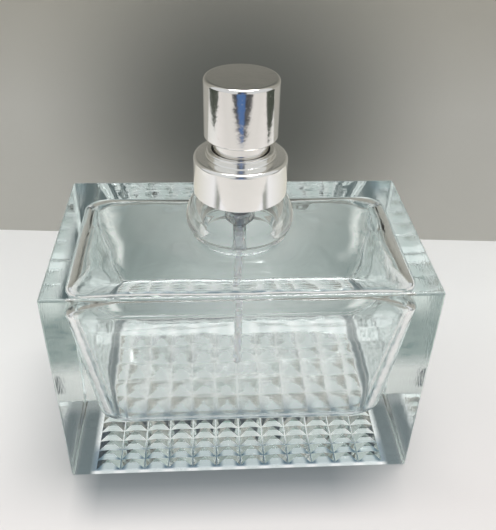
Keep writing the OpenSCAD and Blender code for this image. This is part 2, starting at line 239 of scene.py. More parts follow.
def table_paper():
    """White paper with painted light and shade: dimmer ahead, a painted shadow ahead of the glass, painted
    shade under its side margins, and a painted glow beneath it.
    """
    paper = Finish("table_paper", Roughness=0.62, Specular_IOR_Level=0.3)
    x, y, _ = paper.parts()
    # Painted shade: the paper dims towards the viewer and a little to the right, where the lamp's light
    # falls off.
    near = paper.blend(paper.spread(y, -120 * MM, -55 * MM), (0.58, 0.56, 0.54, 1), (0.72, 0.69, 0.675, 1))
    drift = paper.noise(9, 2) * (6 * MM)
    painted_light_falloff = paper.spread(y - x * 0.12 + drift, -34 * MM, 30 * MM)
    colour = paper.blend(painted_light_falloff, near, (0.89, 0.885, 0.87, 1))
    # Painted shadow of the glass on the paper, just ahead of its front face.
    before = (paper.spread(y, -36 * MM, -25 * MM) * paper.spread(y, -10 * MM, -20 * MM)
              * paper.between(x, -37 * MM, -31 * MM, 20 * MM, 36 * MM))
    colour = paper.blend(before, colour, (0.36, 0.375, 0.385, 1))

    # Painted light under the block: a painted glow in stripes at the stud pitch stands in for the light the
    # glass gathers there.
    u, v = (abs(part) for part in paper.parts((1 / HALF_W, 1 / HALF_D, 1))[:2])
    under = paper.spread(u.maths("MAXIMUM", v), 0.965, 0.995, 1.0, 0.0)
    painted_glow_patch = under * paper.spread(u, 0.86, 0.90, 1.0, 0.0)
    # Painted shade on the paper under the block's side margins, in dark teal.
    painted_shade_at_sides = (under - painted_glow_patch) * paper.spread(y, 13 * MM, 18 * MM, 1.0, 0.0)
    painted_light_rows = paper.spread(y, -9 * MM, -3 * MM) + paper.spread(y, -20 * MM, -19.2 * MM, 1.0, 0.0)
    painted_stud_stripes = paper.spread((x * (2 * math.pi / STUD_PITCH)).maths("COSINE"), -0.3, 0.7)
    glow = paper.blend(painted_light_rows, paper.blend(painted_stud_stripes, (0.62, 0.70, 0.72, 1), (0.06, 0.13, 0.20, 1)),
                       paper.blend(painted_stud_stripes, (0.74, 0.79, 0.78, 1), (1.0, 1.0, 0.99, 1)))
    paper.set(Base_Color=paper.blend(painted_shade_at_sides, colour, (0.42, 0.48, 0.49, 1)),
              Normal=paper.bump(paper.noise(2600, 3), 0.02 * MM),
              Emission_Color=paper.blend(painted_glow_patch, (0, 0, 0, 1), glow), Emission_Strength=0.74)
    return paper.material


table = sheet("table", [(-TABLE_SIDE, -TABLE_SIDE, 0), (TABLE_SIDE, -TABLE_SIDE, 0),
                        (TABLE_SIDE, BACK_RIGHT, 0), (-TABLE_SIDE, BACK_LEFT, 0)], table_paper())
print("table, m:", table.dimensions[:])

# %% Backdrop
WALL_HEIGHT = 420 * MM


def backdrop_board():
    """Grey card with a painted shadow behind the button and a wider one higher up, which the button's top
    mirrors; painted shade darkens it upwards.
    """
    board = Finish("backdrop_board", Roughness=0.8, Specular_IOR_Level=0.2)
    # Painted shadows: a dark pool behind the button and a wider one above it.
    low_painted_shadow = board.ball((4 * MM, TABLE_BACK, 43 * MM), (68 * MM, 1, 68 * MM))
    high_painted_shadow = board.ball((0, TABLE_BACK, 155 * MM), (160 * MM, 1, 88 * MM))
    painted_shadows = low_painted_shadow.maths("MAXIMUM", high_painted_shadow) + board.noise(5, 2) * 0.05
    dark = board.node("ShaderNodeMapRange", {"interpolation_type": "SMOOTHSTEP"}, [painted_shadows, 0.02, 0.86])
    # Painted shade: the grey card darkens upwards.
    rise = board.spread(board.parts()[2], 45 * MM, 75 * MM)
    grey = board.blend(rise, (0.585, 0.57, 0.52, 1), (0.49, 0.47, 0.41, 1))
    board.set(Base_Color=board.blend(dark, grey, (0.165, 0.168, 0.15, 1)))
    board.mix_clear(board.node("ShaderNodeNewGeometry", out="Backfacing"))
    return board.material


wall = sheet("backdrop", [(-TABLE_SIDE, BACK_LEFT, 0), (TABLE_SIDE, BACK_RIGHT, 0),
                          (TABLE_SIDE, BACK_RIGHT, WALL_HEIGHT), (-TABLE_SIDE, BACK_LEFT, WALL_HEIGHT)],
             backdrop_board())
print("backdrop, m:", wall.dimensions[:])

# %% [markdown]
# ## Lamp and cards
#
# One large soft lamp hangs above and behind, so that the shadow falls towards the viewer, and a pale
# sky fills the rest. Cards stand in for the room. No card is seen directly: dark and blue ones ahead
# and at the sides give the polished metal its streaks, one behind the bottle shows through the glass,
# and a pale one lies over the glass, for the metal alone, as the bright table beyond the block.

# %% Lamp and sky
LAMP_PLACE, LAMP_SIZE, LAMP_WATTS = Vector((0.07, 0.17, 0.60)), 0.36, 8.0

lamp = bpy.data.objects.new("soft_lamp", bpy.data.lights.new("soft_lamp", "AREA"))
lamp.data.shape, lamp.data.size, lamp.data.energy = "SQUARE", LAMP_SIZE, LAMP_WATTS
lamp.location = LAMP_PLACE
lamp.rotation_mode = "QUATERNION"
lamp.rotation_quaternion = (LAMP_PLACE - AIM).to_track_quat("Z", "Y")
bpy.context.scene.collection.objects.link(lamp)

world = bpy.data.worlds.new("studio")
bpy.context.scene.world = world
world.use_nodes = True
sky = world.node_tree.nodes["Background"]
sky.inputs["Color"].default_value = (0.96, 0.98, 1.0, 1)
sky.inputs["Strength"].default_value = 0.70

bpy.context.scene.view_settings.view_transform = "Standard"
bpy.context.scene.cycles.max_bounces = 24
bpy.context.scene.cycles.transmission_bounces = 24
bpy.context.scene.cycles.glossy_bounces = 12
print("lamp", lamp.data.energy, "W")

# %% Finishes of the cards
DARK, BLUE, MOSS = (0.02, 0.021, 0.024, 1), (0.035, 0.10, 0.26, 1), (0.04, 0.05, 0.035, 1)
GREY, DEEP_BLUE = (0.78, 0.80, 0.77, 1), (0.05, 0.09, 0.13, 1)


def felt(name, colour=GREY):
    return Finish(name, Roughness=0.9, Base_Color=colour)


def lit_card(name):
    """Grey card that glows, most in its middle and in a band near each end; its foot fades away."""
    card = felt(name)
    x, _, z = card.parts()
    cloud = card.noise(1, 2, 0.5, at=card.place((60, 1, 22)))
    speck = card.noise(1, 2, 0.6, at=card.place((260, 1, 400)))
    middle = card.spread(abs(x - 4 * MM) + cloud * (12 * MM), 8 * MM, 36 * MM, 1.0, 0.0)
    bands = (card.between(abs(x) + cloud * (6 * MM), 31.5 * MM, 34.5 * MM, 36.5 * MM, 40 * MM)
             * card.spread(z, 21 * MM, 28 * MM))
    ends = card.spread(abs(x), 29 * MM, 32 * MM) * card.spread(speck, 0.48, 0.62)
    light = card.blend(middle, (0.12, 0.15, 0.14, 1), (0.40, 0.43, 0.41, 1))
    card.set(Base_Color=card.blend(ends, GREY, (0.34, 0.43, 0.42, 1)),
             Emission_Color=card.blend(bands, light, (0.62, 0.64, 0.61, 1)), Emission_Strength=1.0)
    card.mix_clear(card.spread(z, 6 * MM, 11 * MM, 1.0, 0.0))
    return card


def pale_card(name):
    """Lavender ahead of the neck, cream towards its back, a dark ray between; clear from below."""
    card = felt(name)
    x, y, _ = card.parts((1, -1, 1))
    turn = abs(x.maths("ARCTAN2", y))  # 0 straight ahead of the neck, pi straight behind it
    ray = card.between(turn, 0.76, 0.82, 0.90, 1.05)
    cream = card.blend(card.spread(turn, 0.9, 2.2), (0.74, 0.735, 0.765, 1), (0.60, 0.58, 0.51, 1))
    card.set(Base_Color=card.blend(ray, cream, (0.20, 0.21, 0.19, 1)))
    card.mix_clear(card.node("ShaderNodeNewGeometry", out="Backfacing"))
    return card


print("card finishes ready")

# %% Cards
# Each card's colour or its finish, then its corners in mm
CARDS = {
    "card_ahead": (DARK, [(-60, -235, 45), (-60, -235, 300), (45, -235, 300), (45, -235, 45)]),
    "card_blue": (BLUE, [(-20, -232, 60), (-20, -232, 280), (8, -232, 280), (8, -232, 60)]),
    "cloth_ahead": (DARK, [(-115, -183, 1), (-54, -170, 1), (0, -158, 1), (54, -170, 1), (115, -183, 1),
                           (150, -420, 1), (-150, -420, 1)]),
    "cloth_blue": (BLUE, [(-10, -160, 2), (8, -160, 2), (30, -200, 2), (75, -420, 2), (-115, -420, 2),
                          (-62, -200, 2)]),
    "cloth_left": (MOSS, [(-170, 0, 1), (-198, -64, 1), (-420, -150, 1), (-420, 200, 1), (-188, 70, 1)]),
    "cloth_right": (MOSS, [(156, -10, 1), (190, 78, 1), (420, 180, 1), (420, -150, 1), (198, -62, 1)]),
    "card_behind": (lit_card, [(-46, 24, 6), (43, 24, 6), (43, 24, 45), (-46, 24, 45)]),
    "card_low": (DEEP_BLUE, [(-31, 24, 0), (28, 24, 0), (28, 24, 6), (-31, 24, 6)]),
    "card_over": (pale_card, [(-37, -21.5, 50), (37, -21.5, 50), (37, 21.5, 50), (-37, 21.5, 50)]),
}
for name, (look, corners) in CARDS.items():
    finish = look(name) if callable(look) else felt(name, look)
    card = sheet(name, [tuple(v * MM for v in corner) for corner in corners], finish.material)
    card.visible_camera = card.visible_diffuse = card.visible_shadow = False
    card.visible_transmission = look is not pale_card
print(len(CARDS), "cards")

# %% [markdown]
# ## Surfaces from rings
#
# Everything on this bottle is either turned or pressed, so each piece is a stack of rings. A ring is
# an array of points; the same number of points in each ring lets neighbours be joined by four-sided
# faces, all at once. A mirror-smooth surface shows the smallest error in its shading, so every flat
# stretch gets a guard ring a hair inside each of its ends: the soft shading then stays in the edge.

# %% Ring helpers
GUARD = 0.04 * MM
LONG = 0.48 * MM  # a shorter stretch is a step of an arc, and stays soft


def arc(x, z, r, start, end, steps=8):
    """Points at radius r round (x, z), from angle start to angle end in degrees."""
    a = np.radians(np.linspace(start, end, steps + 1))
    return np.stack([x + r * np.cos(a), z + r * np.sin(a)], 1)


def guarded(points, closed=False):
    """The same outline with a guard point a hair inside both ends of each straight stretch."""
    points = np.asarray(points, float)
    after = np.roll(points, -1, 0)
    if not closed:
        after[-1] = points[-1]
    step = after - points
    length = np.hypot(step[:, 0], step[:, 1])
    way = step / np.maximum(length, 1e-12)[:, None]
    long = (length > LONG)[:, None]
    near = np.where(long, points + way * GUARD, np.nan)
    far = np.where(long, after - way * GUARD, np.nan)
    woven = np.stack([points, near, far], 1).reshape(-1, 2)
    woven = woven[~np.isnan(woven[:, 0])]
    moved = np.r_[True, np.hypot(*np.diff(woven, axis=0).T) > 1e-9]
    return woven[moved]


def ring_faces(rings, columns, loop=False):
    """Corner numbers of the faces between neighbouring rings, (rings x columns, 4)."""
    row, col = np.mgrid[0:rings if loop else rings - 1, 0:columns]
    above, right_of = (row + 1) % rings, (col + 1) % columns
    return np.stack([row * columns + col, row * columns + right_of,
                     above * columns + right_of, above * columns + col], -1).reshape(-1, 4)


def build(name, points, faces, body, replaces):
    mesh = bpy.data.meshes.new(name)
    mesh.from_pydata(points, [], faces)
    mesh.polygons.foreach_set("use_smooth", np.ones(len(mesh.polygons), bool))
    made = bpy.data.objects.new(name, mesh)
    bpy.context.scene.collection.objects.link(made)
    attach(made, body)
    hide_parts(*replaces)
    print(f"{name}: {len(mesh.vertices)} points, {len(mesh.polygons)} faces")
    return made


def turned(name, outline, body, replaces, columns):
    """A closed outline (radius, height) carried once round the Z axis; it never touches the axis.

    Point (i, j) is (r_i cos t_j, r_i sin t_j, z_i), with t_j one turn in equal steps. The faces look
    outwards when the outline runs anticlockwise, so its signed area sets its direction.
    """
    r, z = np.transpose(outline)
    if (r * np.roll(z, -1) - np.roll(r, -1) * z).sum() < 0:
        outline = outline[::-1]
    outline = guarded(outline, closed=True)
    turn = np.linspace(0, 2 * np.pi, columns, endpoint=False)
    points = np.stack([outline[:, :1] * np.cos(turn), outline[:, :1] * np.sin(turn),
                       np.repeat(outline[:, 1:], columns, 1)], -1)
    faces = ring_faces(len(outline), columns, loop=True)
    return build(name, points.reshape(-1, 3), faces, body, replaces)


print("ring helpers ready")

# %% [markdown]
# ## The glass
#
# The bottle is one piece of glass: a sharp-edged block with a thick solid base, a drafted cavity
# with round shoulders, a bell-shaped neck foot, and rows of small pyramids pressed up into its
# underside. Light bends at every one of those surfaces, so both the outside and the inside must be
# there, with faces that point out of the glass. The rings start at the pyramids, run up the outside
# to the lip, turn in, and come down the bore and the cavity's walls to the middle of its floor.

# %% Dimensions of the glass
BODY_H, EDGE, MARGIN = 49.6 * MM, 0.55 * MM, 1 * MM  # MARGIN: from an edge to the first ring on the flat
FLOOR_Z, CEILING_Z = 13.0 * MM, 46.6 * MM
WALLS = {"side": (7.6 * MM, 3.0 * MM), "front": (4.4 * MM, 3.9 * MM)}  # at the floor, at the shoulder
FLOOR_SIDE, FLOOR_FRONT, FLOOR_RISE = 4.2 * MM, 3.8 * MM, 3.4 * MM
SHOULDER_SIDE, SHOULDER_FRONT, SHOULDER_DROP = 11.0 * MM, 4.6 * MM, 3.6 * MM
CORNER_TOP, CORNER_LOW, CORNER_GROWS = 4.0 * MM, 6.0 * MM, 3.0 * MM
STUD_LAND, STUD_H = 0.24 * MM, 1.8 * MM
STUD_COLUMNS, STUD_ROWS = 12, 7
STUD_STEPS = 10  # faces across one stud, its land included
BORE_R, NECK_R, BEAD_R, BEAD_Z = 4.8 * MM, 6.6 * MM, 7.5 * MM, 60.8 * MM
BELL_R, BELL_ROUND, BELL_Z, BELL_TOP = 10.9 * MM, 7.4 * MM, 53.7 * MM, 59.9 * MM
BELL_LOW, FOOT, SKIRT, TUCK = 2.3 * MM, 0.5 * MM, 17.0 * MM, 58.0  # TUCK: degrees, under the bell
LIP, LIP_INSIDE = 0.8 * MM, 0.4 * MM
BELL_WALL, FLARE, FLARE_R, FLARE_Z = 2.9 * MM, 2.8 * MM, 10.6 * MM, 47.4 * MM

ACROSS, DEEP = STUD_COLUMNS * STUD_STEPS, STUD_ROWS * STUD_STEPS
AROUND = 2 * (ACROSS + DEEP)
print("glass block, mm:", 2 * HALF_W / MM, 2 * HALF_D / MM, BODY_H / MM, "points round it:", AROUND)


# %% Rings of the glass
def side_steps(steps, bend=8):
    """For each point of one side: the angle within its corner arcs, and the share along the side."""
    i = np.arange(steps)
    angle = (np.clip(i / bend, 0, 1) - 1 + np.clip((i - steps + bend) / bend, 0, 1)) * 45.0
    along = np.clip((i - bend) / (steps - 2 * bend), 0, 1) * 2 - 1
    return np.radians(angle), along


def rounded_box(half_w, half_d, corner, z):
    """One ring round a rectangle with round corners: centre of the arc plus radius times direction."""
    rows = []
    for steps, turn in ((DEEP, 0), (ACROSS, 1), (DEEP, 2), (ACROSS, 3)):
        angle, along = side_steps(steps)
        out, side = (half_w, half_d) if turn % 2 == 0 else (half_d, half_w)
        u = out - corner + corner * np.cos(angle)
        v = along * (side - corner) + corner * np.sin(angle)
        rows.append(np.stack([[u, v], [-v, u], [-u, -v], [v, -u]][turn], 1))
    flat = np.concatenate(rows)
    return np.column_stack([flat, np.full(len(flat), z)])


def circle(r, z):
    """One ring round a circle. It starts towards the block's corner, at -30 degrees, as a box does."""
    turn = np.radians(360 * np.arange(AROUND) / AROUND - 30)
    return np.column_stack([r * np.cos(turn), r * np.sin(turn), np.full(AROUND, z)])


def stud_lines(count):
    """Grid lines across a row of studs: land, slope in equal steps up and down, land."""
    half = STUD_PITCH / 2 - STUD_LAND / 2
    one = np.r_[-STUD_PITCH / 2, np.linspace(-half, half, STUD_STEPS - 1)]
    middles = (np.arange(count) - (count - 1) / 2) * STUD_PITCH
    return np.r_[(middles[:, None] + one).ravel(), count * STUD_PITCH / 2], half


def stud_field():
    """Heights of the pyramids: H (1 - max(|u|, |v|) / half), u and v measured from each one's middle."""
    xs, half = stud_lines(STUD_COLUMNS)
    ys, _ = stud_lines(STUD_ROWS)
    u = np.abs((xs + STUD_COLUMNS * STUD_PITCH / 2) % STUD_PITCH - STUD_PITCH / 2)
    v = np.abs((ys + STUD_ROWS * STUD_PITCH / 2) % STUD_PITCH - STUD_PITCH / 2)
    x, y = np.meshgrid(xs, ys)
    z = STUD_H * np.maximum(0, 1 - np.maximum(*np.meshgrid(u, v)) / half)
    return np.stack([x, y, z], -1)


field = stud_field()
print("stud field:", field.shape, "tallest, mm:", field[..., 2].max() / MM)


# %% Outside and inside of the glass
def oval(x, z, out, up, start, end, steps=8):
    """Points of an ellipse with half axes out and up round (x, z), from angle start to end."""
    a = np.radians(np.linspace(start, end, steps + 1))
    return np.stack([x + out * np.cos(a), z + up * np.sin(a)], 1)


def wall_at(z):
    """Half sizes of the cavity at height z: the block's, less a wall that thins evenly upwards."""
    share = (z - FLOOR_Z) / (CEILING_Z - FLOOR_Z)
    thick = {k: a + (b - a) * share for k, (a, b) in WALLS.items()}
    return HALF_W - thick["side"], HALF_D - thick["front"]


def swell(x0, z0, x1, z1, steps):
    """A gentle S from (x0, z0) to (x1, z1), level at its start: z rises with t squared."""
    t = np.linspace(0, 1, steps + 1)[:, None]
    return np.concatenate([x0 + (x1 - x0) * t, z0 + (z1 - z0) * t ** 2], 1)


def outside_rings():
    """From the rim of the stud field, round the bottom edge, up the walls and neck, to the lip."""
    bottom = arc(0, EDGE, EDGE, 270, 360, 6)
    top = arc(0, BODY_H - EDGE, EDGE, 0, 90, 6)
    walls = guarded(np.concatenate([bottom, top]))
    flat_w, flat_d = HALF_W - EDGE, HALF_D - EDGE
    rings = [rounded_box(flat_w - inset, flat_d - inset, EDGE, 0) for inset in (MARGIN, GUARD)]
    rings += [rounded_box(flat_w + x, flat_d + x, EDGE * 0.6 + 0.4 * x, z) for x, z in walls]
    rings += [rounded_box(flat_w - inset, flat_d - inset, EDGE, BODY_H) for inset in (GUARD, MARGIN)]
    bell_axis = BELL_R - BELL_ROUND
    bell_end = math.degrees(math.asin((BELL_TOP - BELL_Z) / BELL_ROUND))
    hug = BELL_R - BELL_LOW + (BELL_LOW + FOOT) * math.cos(math.radians(TUCK))
    crease_z = BELL_Z - (BELL_LOW + FOOT) * math.sin(math.radians(TUCK))
    neck = guarded(np.concatenate([
        [(SKIRT + 0.5 * MM, BODY_H)],
        swell(SKIRT, BODY_H, hug + 0.06 * MM, crease_z - FOOT, 18),
        arc(hug, crease_z, FOOT, 270, 180 - TUCK, 8),
        arc(BELL_R - BELL_LOW, BELL_Z, BELL_LOW, -TUCK, 0, 8),
        arc(bell_axis, BELL_Z, BELL_ROUND, 0, bell_end, 16),
        [(NECK_R, BELL_TOP), (NECK_R, BEAD_Z), (BEAD_R - 0.4 * MM, BEAD_Z), (BEAD_R, BEAD_Z + 0.4 * MM)],
        arc(BEAD_R - LIP, LIP_Z - LIP, LIP, 0, 90, 8),
        arc(BORE_R + LIP_INSIDE, LIP_Z - LIP_INSIDE, LIP_INSIDE, 90, 180, 5)]))
    return rings + [circle(r, z) for r, z in neck]


def inside_rings():
    """From the bore, through the bell and its flare, over the shoulders, down the walls to the floor."""
    inner = BELL_ROUND - BELL_WALL
    axis = BELL_R - BELL_ROUND
    start = math.degrees(math.acos((BORE_R - axis) / inner))
    tip = 14  # degrees short of level, where the flare runs into the ceiling
    bore = guarded(np.concatenate([
        [(BORE_R, LIP_Z - 0.45 * MM)],
        arc(axis, BELL_Z, inner, start, 0, 14),
        arc(FLARE_R, FLARE_Z + FLARE, FLARE, 180, 270 - tip, 14)]))
    rings = [circle(r, z) for r, z in bore]
    shoulder = []
    for share, drop in 1 - oval(0, 0, 1, 1, 90, 0, 18):
        z = CEILING_Z - SHOULDER_DROP * drop
        half_w, half_d = wall_at(z)
        shoulder.append(rounded_box(half_w - SHOULDER_SIDE * share, half_d - SHOULDER_FRONT * share,
                                    CORNER_TOP + CORNER_GROWS * share, z))
    mouth = rings[-1]
    for t in np.linspace(0, 1, 10)[1:-1]:
        roof = mouth * (1 - t) + shoulder[0] * t
        roof[:, 2] = CEILING_Z + (mouth[:, 2] - CEILING_Z) * (1 - t) ** 1.7
        rings.append(roof)
    rings += shoulder
    low_z, top_z = FLOOR_Z + FLOOR_RISE, CEILING_Z - SHOULDER_DROP
    for z in np.linspace(top_z, low_z, 24)[1:-1]:
        corner = CORNER_LOW + (CORNER_TOP - CORNER_LOW) * (z - low_z) / (top_z - low_z)
        rings.append(rounded_box(*wall_at(z), corner, z))
    for share, drop in 1 - oval(0, 0, 1, 1, 0, 90, 14):
        z = low_z - FLOOR_RISE * (1 - drop)
        half_w, half_d = wall_at(z)
        rings.append(rounded_box(half_w - FLOOR_SIDE * share, half_d - FLOOR_FRONT * share, CORNER_LOW, z))
    rim = rings[-1]
    rings += [rim * (share, share, 1) for share in np.linspace(0.96, 0.02, 14)]
    return rings


def glass_mesh():
    """The stud field, the rings and the pole in the floor: points, faces, and how many faces are studs."""
    rings = np.concatenate([outside_rings(), inside_rings()])
    rows, cols = field.shape[:2]
    number = np.arange(rows * cols).reshape(rows, cols)
    rim = np.r_[number[:-1, -1], number[-1, :0:-1], number[:0:-1, 0], number[0, :-1]]
    points = np.concatenate([field.reshape(-1, 3), rings.reshape(-1, 3)])
    first = rows * cols
    skin = ring_faces(len(rings), AROUND) + first
    after = np.roll(np.arange(AROUND), -1)
    margin = np.stack([rim, rim[after], first + after, first + np.arange(AROUND)], 1)
    pole = len(points)
    last = pole - AROUND
    points = np.vstack([points, points[last:].mean(0)])
    cap = np.stack([last + np.arange(AROUND), last + after, np.full(AROUND, pole)], 1)
    i, j = np.mgrid[0:rows - 1, 0:cols - 1]
    a, b, c, d = number[i, j], number[i, j + 1], number[i + 1, j + 1], number[i + 1, j]
    half = STUD_STEPS // 2
    rising = ((i % STUD_STEPS < half) == (j % STUD_STEPS < half))[..., None]
    one = np.where(rising, np.stack([a, c, b], -1), np.stack([a, d, b], -1))
    two = np.where(rising, np.stack([a, d, c], -1), np.stack([b, d, c], -1))
    studs = np.concatenate([one.reshape(-1, 3), two.reshape(-1, 3)])
    return points, studs.tolist() + margin.tolist() + skin.tolist() + cap.tolist(), len(studs)


points, faces, stud_count = glass_mesh()
bottle = build("bottle_glass", points, faces, "bottle", ["glass_bottle"])
flat = np.ones(len(faces), bool)
flat[:stud_count] = False
bottle.data.polygons.foreach_set("use_smooth", flat)

# %% [markdown]
# The outside was pressed against a polished mould, but no mould touched the cavity, so its surface is
# less even. An attribute named "inside" tells the two apart: it is 1 on the cavity's surface and 0
# outside. Shadows and the light that reaches the paper pass straight through, dimmed, and the body of
# the glass has a faint green tint that deepens with its thickness.

# %% Glass finish
outside_count = field.shape[0] * field.shape[1] + sum(len(ring) for ring in outside_rings())
inside = np.zeros(len(bottle.data.vertices), np.float32)
inside[outside_count:] = 1
bottle.data.attributes.new("inside", "FLOAT", "POINT").data.foreach_set("value", inside)


def bottle_finish():
    """Clear glass, almost flat outside. Inside it sags and rolls, and its floor is faintly frosted."""
    glass = Finish("clear_bottle_glass", IOR=1.51, Transmission_Weight=1.0,
                   Base_Color=(0.985, 0.995, 0.99, 1))
    within = glass.node("ShaderNodeAttribute", {"attribute_name": "inside"}, out=2)
    height = glass.parts()[2]
    u, v, _ = glass.parts((1 / HALF_W, 1 / HALF_D, 1))
    walls = within * glass.spread(height, 40 * MM, 44 * MM, 1.0, 0.0)
    ceiling = within * glass.between(height, 43.5 * MM, 46 * MM, 47 * MM, 48 * MM)
    frost = within * glass.spread(height, 15.5 * MM, 18.5 * MM, 0.24, 0.0)
    at_side, at_back = glass.spread(abs(u), 0.985, 0.995), glass.spread(v, 0.98, 0.99)
    waves = glass.noise(1, 1.5, 0.4, at=glass.place((80, 380, 380)))
    rolls = glass.noise(1, 1, 0.4, at=glass.place((90, 60, 60)))
    sag, ripple = glass.noise(95, 1), glass.noise(620, 2.5, 0.6)
    uneven = (waves * walls * 0.35 + rolls * ceiling * 4.0 + sag * within * 0.6 + sag * 0.12
              + glass.noise(330, 2) * 0.03 + ripple * at_side * 0.16 + ripple * at_back * 0.05)
    glass.set(Roughness=frost, Normal=glass.bump(uneven, 0.3 * MM))
    tint = glass.node("ShaderNodeVolumeAbsorption", inputs={"Color": (0.61, 0.73, 0.69, 1), "Density": 8.0})
    glass.plug(glass.output.inputs["Volume"], tint)
    in_shadow = glass.node("ShaderNodeLightPath", out="Is Shadow Ray")
    on_paper = Value(glass, in_shadow.socket.node.outputs["Is Diffuse Ray"])
    glass.mix_clear(in_shadow.maths("MAXIMUM", on_paper), (0.62, 0.65, 0.66, 1))
    return glass.material


bottle.data.materials.append(bottle_finish())
print("points inside the glass:", int(inside.sum()))

# %% [markdown]
# ## Polished metal
#
# The collar and the button's shell are drawn from thin aluminium and polished. Their reflections
# are slightly soft, and run into streaks up and down, because the polishing went round the axis.

# %% Metal finish
def polished(name, tint, rough, metallic=1.0):
    finish = Finish(name, Base_Color=tint, Metallic=metallic, Anisotropic=0.35)
    haze = finish.noise(420, 3)
    rings_of_polish = finish.noise(1, 4, 0.7, at=finish.place((90, 90, 5200)))
    dust = finish.noise(2600, 2)
    finish.set(
        Roughness=finish.spread(haze * 0.6 + rings_of_polish * 0.4, 0.3, 0.7, rough * 0.8, rough * 1.35),
        Normal=finish.bump(finish.spread(dust, 0.72, 0.82), 0.012 * MM,
                           under=finish.bump(haze, 0.03 * MM)))
    return finish.material


bright = polished("polished_aluminium", (0.89, 0.875, 0.85, 1), 0.10)
bright_collar = polished("polished_collar", (0.94, 0.93, 0.90, 1), 0.13, 0.95)
print("metal finishes ready")

# %% Collar
COLLAR_R, SHEET, COLLAR_Z, COLLAR_TOP = 9.2 * MM, 0.4 * MM, 59.8 * MM, 67.55 * MM
HOLE_R, HOLE_BEAD_W, HOLE_TOP = 5.6 * MM, 1.05 * MM, 69.0 * MM


def collar_outline():
    """Outer wall, rolled edge, fillet, bead round the hole, and back down the inside."""
    roll, fillet, bead = 0.7 * MM, 0.3 * MM, 0.4 * MM
    out = HOLE_R + HOLE_BEAD_W
    return np.concatenate([
        [(COLLAR_R - SHEET, COLLAR_Z), (COLLAR_R - 0.05 * MM, COLLAR_Z), (COLLAR_R, COLLAR_Z + 0.05 * MM)],
        arc(COLLAR_R - roll, COLLAR_TOP - roll, roll, 0, 90, 10),
        arc(out + fillet, COLLAR_TOP + fillet, fillet, 270, 180, 6),
        arc(out - bead, HOLE_TOP - bead, bead, 0, 90, 8),
        arc(HOLE_R + bead, HOLE_TOP - bead, bead, 90, 180, 8),
        [(HOLE_R, COLLAR_TOP - SHEET)],
        arc(COLLAR_R - SHEET - fillet, COLLAR_TOP - SHEET - fillet, fillet, 90, 0, 4)])


collar = turned("collar_metal", collar_outline(), "bottle", ["collar_shell"], 192)
collar.data.materials.append(bright_collar)

# %% [markdown]
# The button is the same kind of cup, closed at the top, with a round window for the nozzle at the
# back. A turned wall has no holes, so a square patch of it is left out on both sides of the sheet,
# and rings that change from that square to the window's circle fill the gap.

# %% Button shell
BUTTON_R, BUTTON_Z, BUTTON_TOP = 7.1 * MM, 71.4 * MM, 82.9 * MM
SKIRT_R, SKIRT_Z, WINDOW_R, WINDOW_Z = 5.35 * MM, 68.2 * MM, 2.08 * MM, 78.0 * MM
COLUMNS, PATCH = 192, 16  # points round the shell, and steps across the patch


def shell_outline(out, edge, top_z, low_z):
    """Radii and heights of the cup from its skirt to near its middle; PATCH even steps span the window."""
    step_in, fillet = 0.45 * MM - out, 0.3 * MM
    skirt = SKIRT_R - out
    half = WINDOW_R + 0.9 * MM
    lower = guarded(np.concatenate([
        [(skirt, low_z)],
        arc(skirt + fillet, BUTTON_Z + out - fillet, fillet, 180, 90, 6),
        arc(BUTTON_R - out - step_in, BUTTON_Z + out + step_in, step_in, 270, 360, 8),
        [(BUTTON_R - out, WINDOW_Z - half)]]))
    rows = np.linspace(-half, half, PATCH + 1) + WINDOW_Z
    window = np.column_stack([np.full(PATCH + 1, BUTTON_R - out), rows])
    upper = guarded(np.concatenate([
        [(BUTTON_R - out, WINDOW_Z + half)], arc(BUTTON_R - out - edge, top_z - edge, edge, 0, 90, 12),
        [(2.0 * MM, top_z)]]))
    return np.concatenate([lower, window[1:-1], upper]), len(lower) - 1


def shell_side(out, edge, top_z, low_z):
    """One side of the sheet: lathe grid less the patch, the rings round the window, and the pole."""
    outline, first_row = shell_outline(out, edge, top_z, low_z)
    turn = np.pi / 2 + 2 * np.pi * (np.arange(COLUMNS) - PATCH // 2) / COLUMNS
    grid = np.stack([outline[:, :1] * np.cos(turn), outline[:, :1] * np.sin(turn),
                     np.repeat(outline[:, 1:], COLUMNS, 1)], -1).reshape(-1, 3)
    faces = ring_faces(len(outline), COLUMNS).reshape(len(outline) - 1, COLUMNS, 4)
    keep = np.ones(faces.shape[:2], bool)
    keep[first_row:first_row + PATCH, :PATCH] = False
    number = np.arange(len(grid)).reshape(-1, COLUMNS)[first_row:first_row + PATCH + 1, :PATCH + 1]
    rim = np.r_[number[0, :-1], number[:-1, -1], number[-1, :0:-1], number[:0:-1, 0]]
    wall_r = BUTTON_R - out
    angle = np.arctan2(grid[rim, 1], grid[rim, 0]) - np.pi / 2
    across, rise = angle * wall_r, grid[rim, 2] - WINDOW_Z
    round_ = np.arctan2(rise, across)
    rings = []
    for t in np.linspace(0, 1, 5)[1:]:
        x = across * (1 - t) + WINDOW_R * np.cos(round_) * t
        z = rise * (1 - t) + WINDOW_R * np.sin(round_) * t + WINDOW_Z
        a = np.arcsin(x / wall_r) * t + x / wall_r * (1 - t)
        rings.append(np.column_stack([-wall_r * np.sin(a), wall_r * np.cos(a), z]))
    count = len(rim)
    start = len(grid)
    patch = ring_faces(5, count) + start - count
    patch = np.where(patch < start, rim[(patch - start + count) % count], patch)
    pole = start + 4 * count
    last = (len(outline) - 1) * COLUMNS + np.arange(COLUMNS)
    cap = np.stack([last, np.roll(last, -1), np.full(COLUMNS, pole)], 1)
    points = np.concatenate([grid, *rings, [[0, 0, top_z]]])
    quads = np.concatenate([faces[keep], patch])
    return points, quads, cap, start + 3 * count


